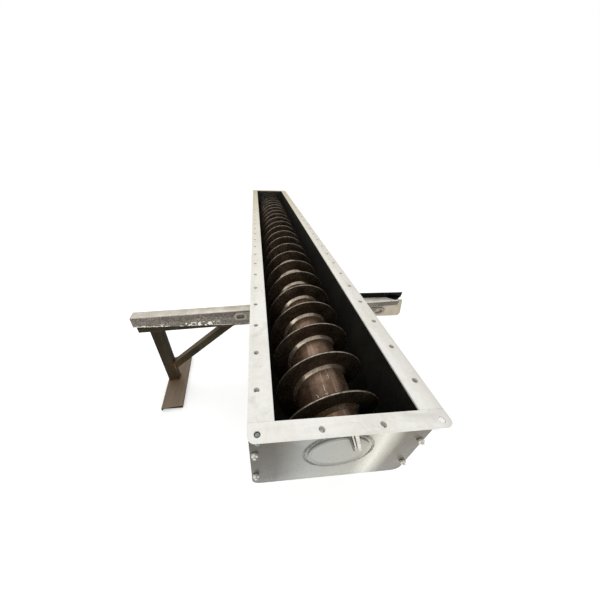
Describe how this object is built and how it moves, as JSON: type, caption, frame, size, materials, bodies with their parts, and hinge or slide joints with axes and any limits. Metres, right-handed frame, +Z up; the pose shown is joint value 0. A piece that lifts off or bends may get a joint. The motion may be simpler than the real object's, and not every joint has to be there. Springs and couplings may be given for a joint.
{
  "type": "screw conveyor",
  "caption": "Open-topped U trough with bolt-hole flanges, a right-hand flight screw turning in it, on a wide trestle and a narrow stand.",
  "frame": {"origin": "middle of the whole object's footprint, on the floor", "axes": "+Y along the trough from the near end in the picture to the far end, +X to its right, +Z up"},
  "size_m": [1.4324, 2.6954, 0.79],
  "materials": {
    "flange_paint": "pale off-white, smudged, matt",
    "trough_plate": "dark dull sheet, greenish black inside",
    "screw_steel": "brown mill scale with bright worn rims and weld beads",
    "shaft_steel": "turned, bare",
    "galvanised_plate": "galvanised, mottled, half gloss",
    "splice_steel": "beige, matt",
    "black_angle": "black, glossy",
    "brown_steel": "grey brown hot-rolled steel, rusty at the welds"
  },
  "bodies": {
    "frame": {"angle_clip": "black_angle", "back_angle": "black_angle", "bearing_bush": "shaft_steel", "bearing_cap": "galvanised_plate", "bearing_flange": "galvanised_plate", "brace_front_left": "brown_steel", "brace_front_right": "brown_steel", "cross_beam_front": "galvanised_plate", "cross_beam_rear": "galvanised_plate", "end_plate_front": "galvanised_plate", "end_plate_rear": "galvanised_plate", "end_rib_front": "galvanised_plate", "end_rib_rear": "galvanised_plate", "flange_front": "flange_paint", "flange_left": "flange_paint", "flange_rear": "flange_paint", "flange_right": "flange_paint", "foot_front_left": "brown_steel", "foot_front_right": "brown_steel", "foot_rear_left": "brown_steel", "foot_rear_right": "brown_steel", "lug_left": "galvanised_plate", "lug_right": "galvanised_plate", "post_front_left": "brown_steel", "post_front_right": "brown_steel", "post_rear_left": "brown_steel", "post_rear_right": "brown_steel", "rail_front": "brown_steel", "rail_rear": "brown_steel", "saddle_front": "galvanised_plate", "saddle_rear": "galvanised_plate", "splice_plate": "splice_steel", "trough_shell": "trough_plate"},
    "screw": {"flight_01": "screw_steel", "flight_02": "screw_steel", "flight_03": "screw_steel", "flight_04": "screw_steel", "flight_05": "screw_steel", "flight_06": "screw_steel", "flight_07": "screw_steel", "flight_08": "screw_steel", "flight_09": "screw_steel", "flight_10": "screw_steel", "flight_11": "screw_steel", "flight_12": "screw_steel", "screw_pipe": "screw_steel", "stub_shaft_front": "shaft_steel", "stub_shaft_rear": "shaft_steel"}
  },
  "joints": [
    {"name": "screw_turn", "type": "hinge", "parent": "frame", "child": "screw", "pos_m": [0.0503, 0, 0.6645], "axis": [0, 1, 0], "continuous": true}
  ]
}
